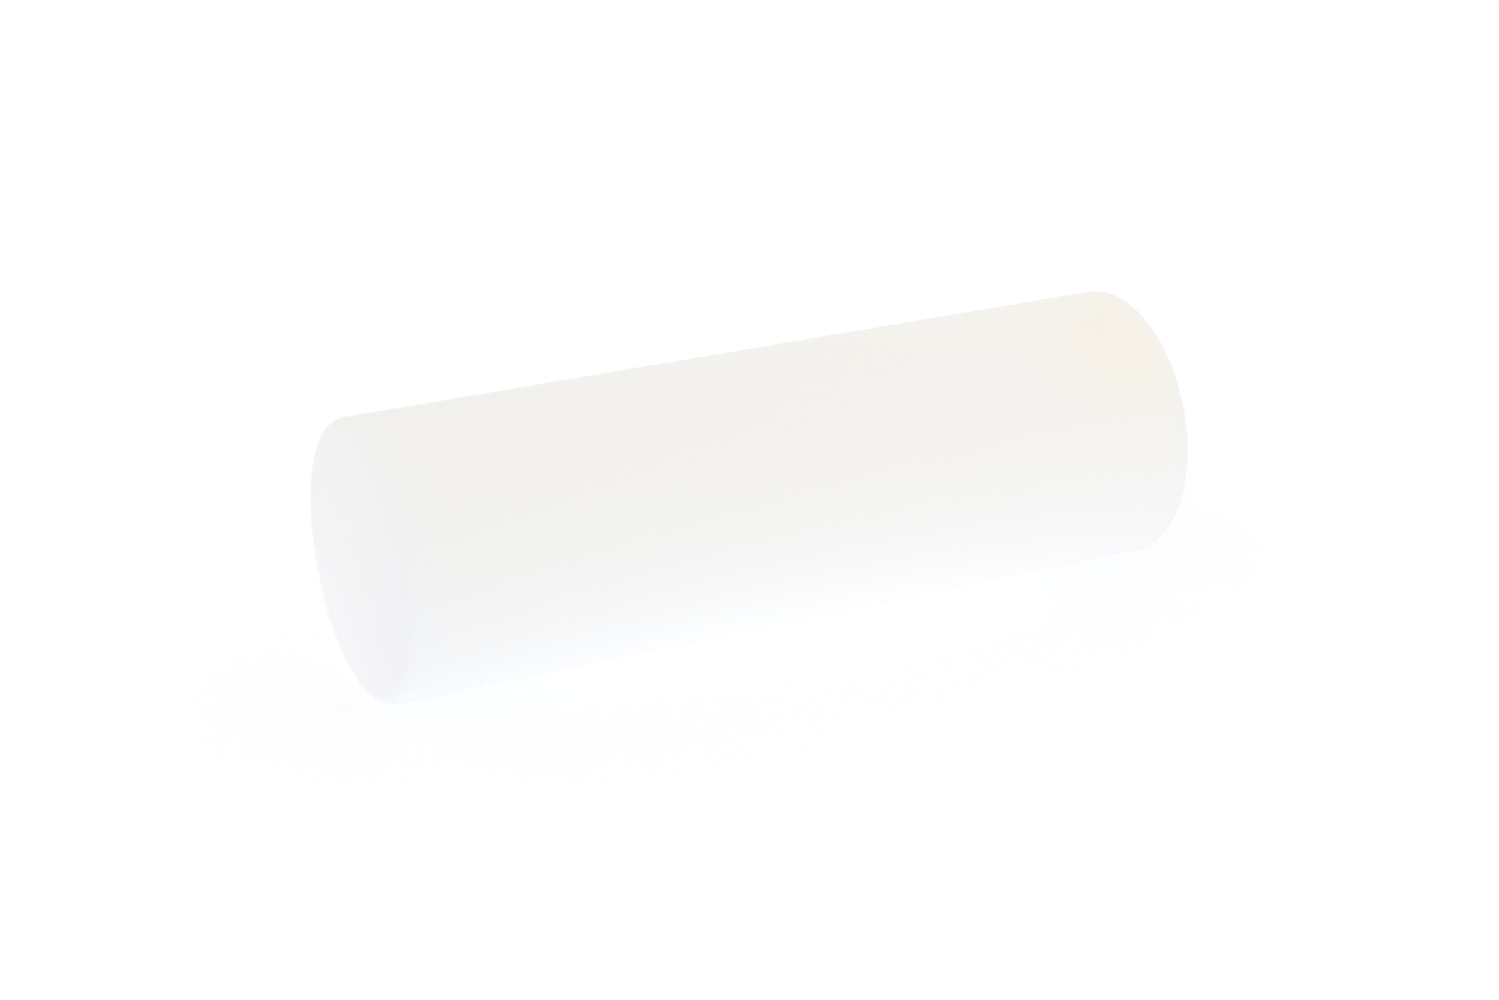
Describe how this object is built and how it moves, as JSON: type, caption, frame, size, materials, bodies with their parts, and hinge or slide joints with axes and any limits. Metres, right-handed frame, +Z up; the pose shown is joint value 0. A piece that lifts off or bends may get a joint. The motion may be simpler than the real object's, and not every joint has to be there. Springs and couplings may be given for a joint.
{
  "type": "foam roller",
  "caption": "Plain white foam roller with closed ends and rounded rims, lying on its side, for massage and floor exercise.",
  "frame": {"origin": "on the ground under the middle of the roller, which lies on its side", "axes": "+X along the roller's axis, from the left end to the right end; +Z up; the jacket's butt joint is low on the back, on the +Y side"},
  "size_m": [0.46, 0.15, 0.15],
  "materials": {
    "jacket_foam": "satin white closed-cell foam skin",
    "disc_foam": "satin white closed-cell foam skin",
    "core_foam": "cut closed-cell foam"
  },
  "bodies": {
    "root": {"jacket": "jacket_foam", "left_end_disc": "disc_foam", "right_end_disc": "disc_foam", "core_lower_plank": "core_foam", "core_middle_plank": "core_foam", "core_upper_plank": "core_foam"}
  },
  "joints": []
}
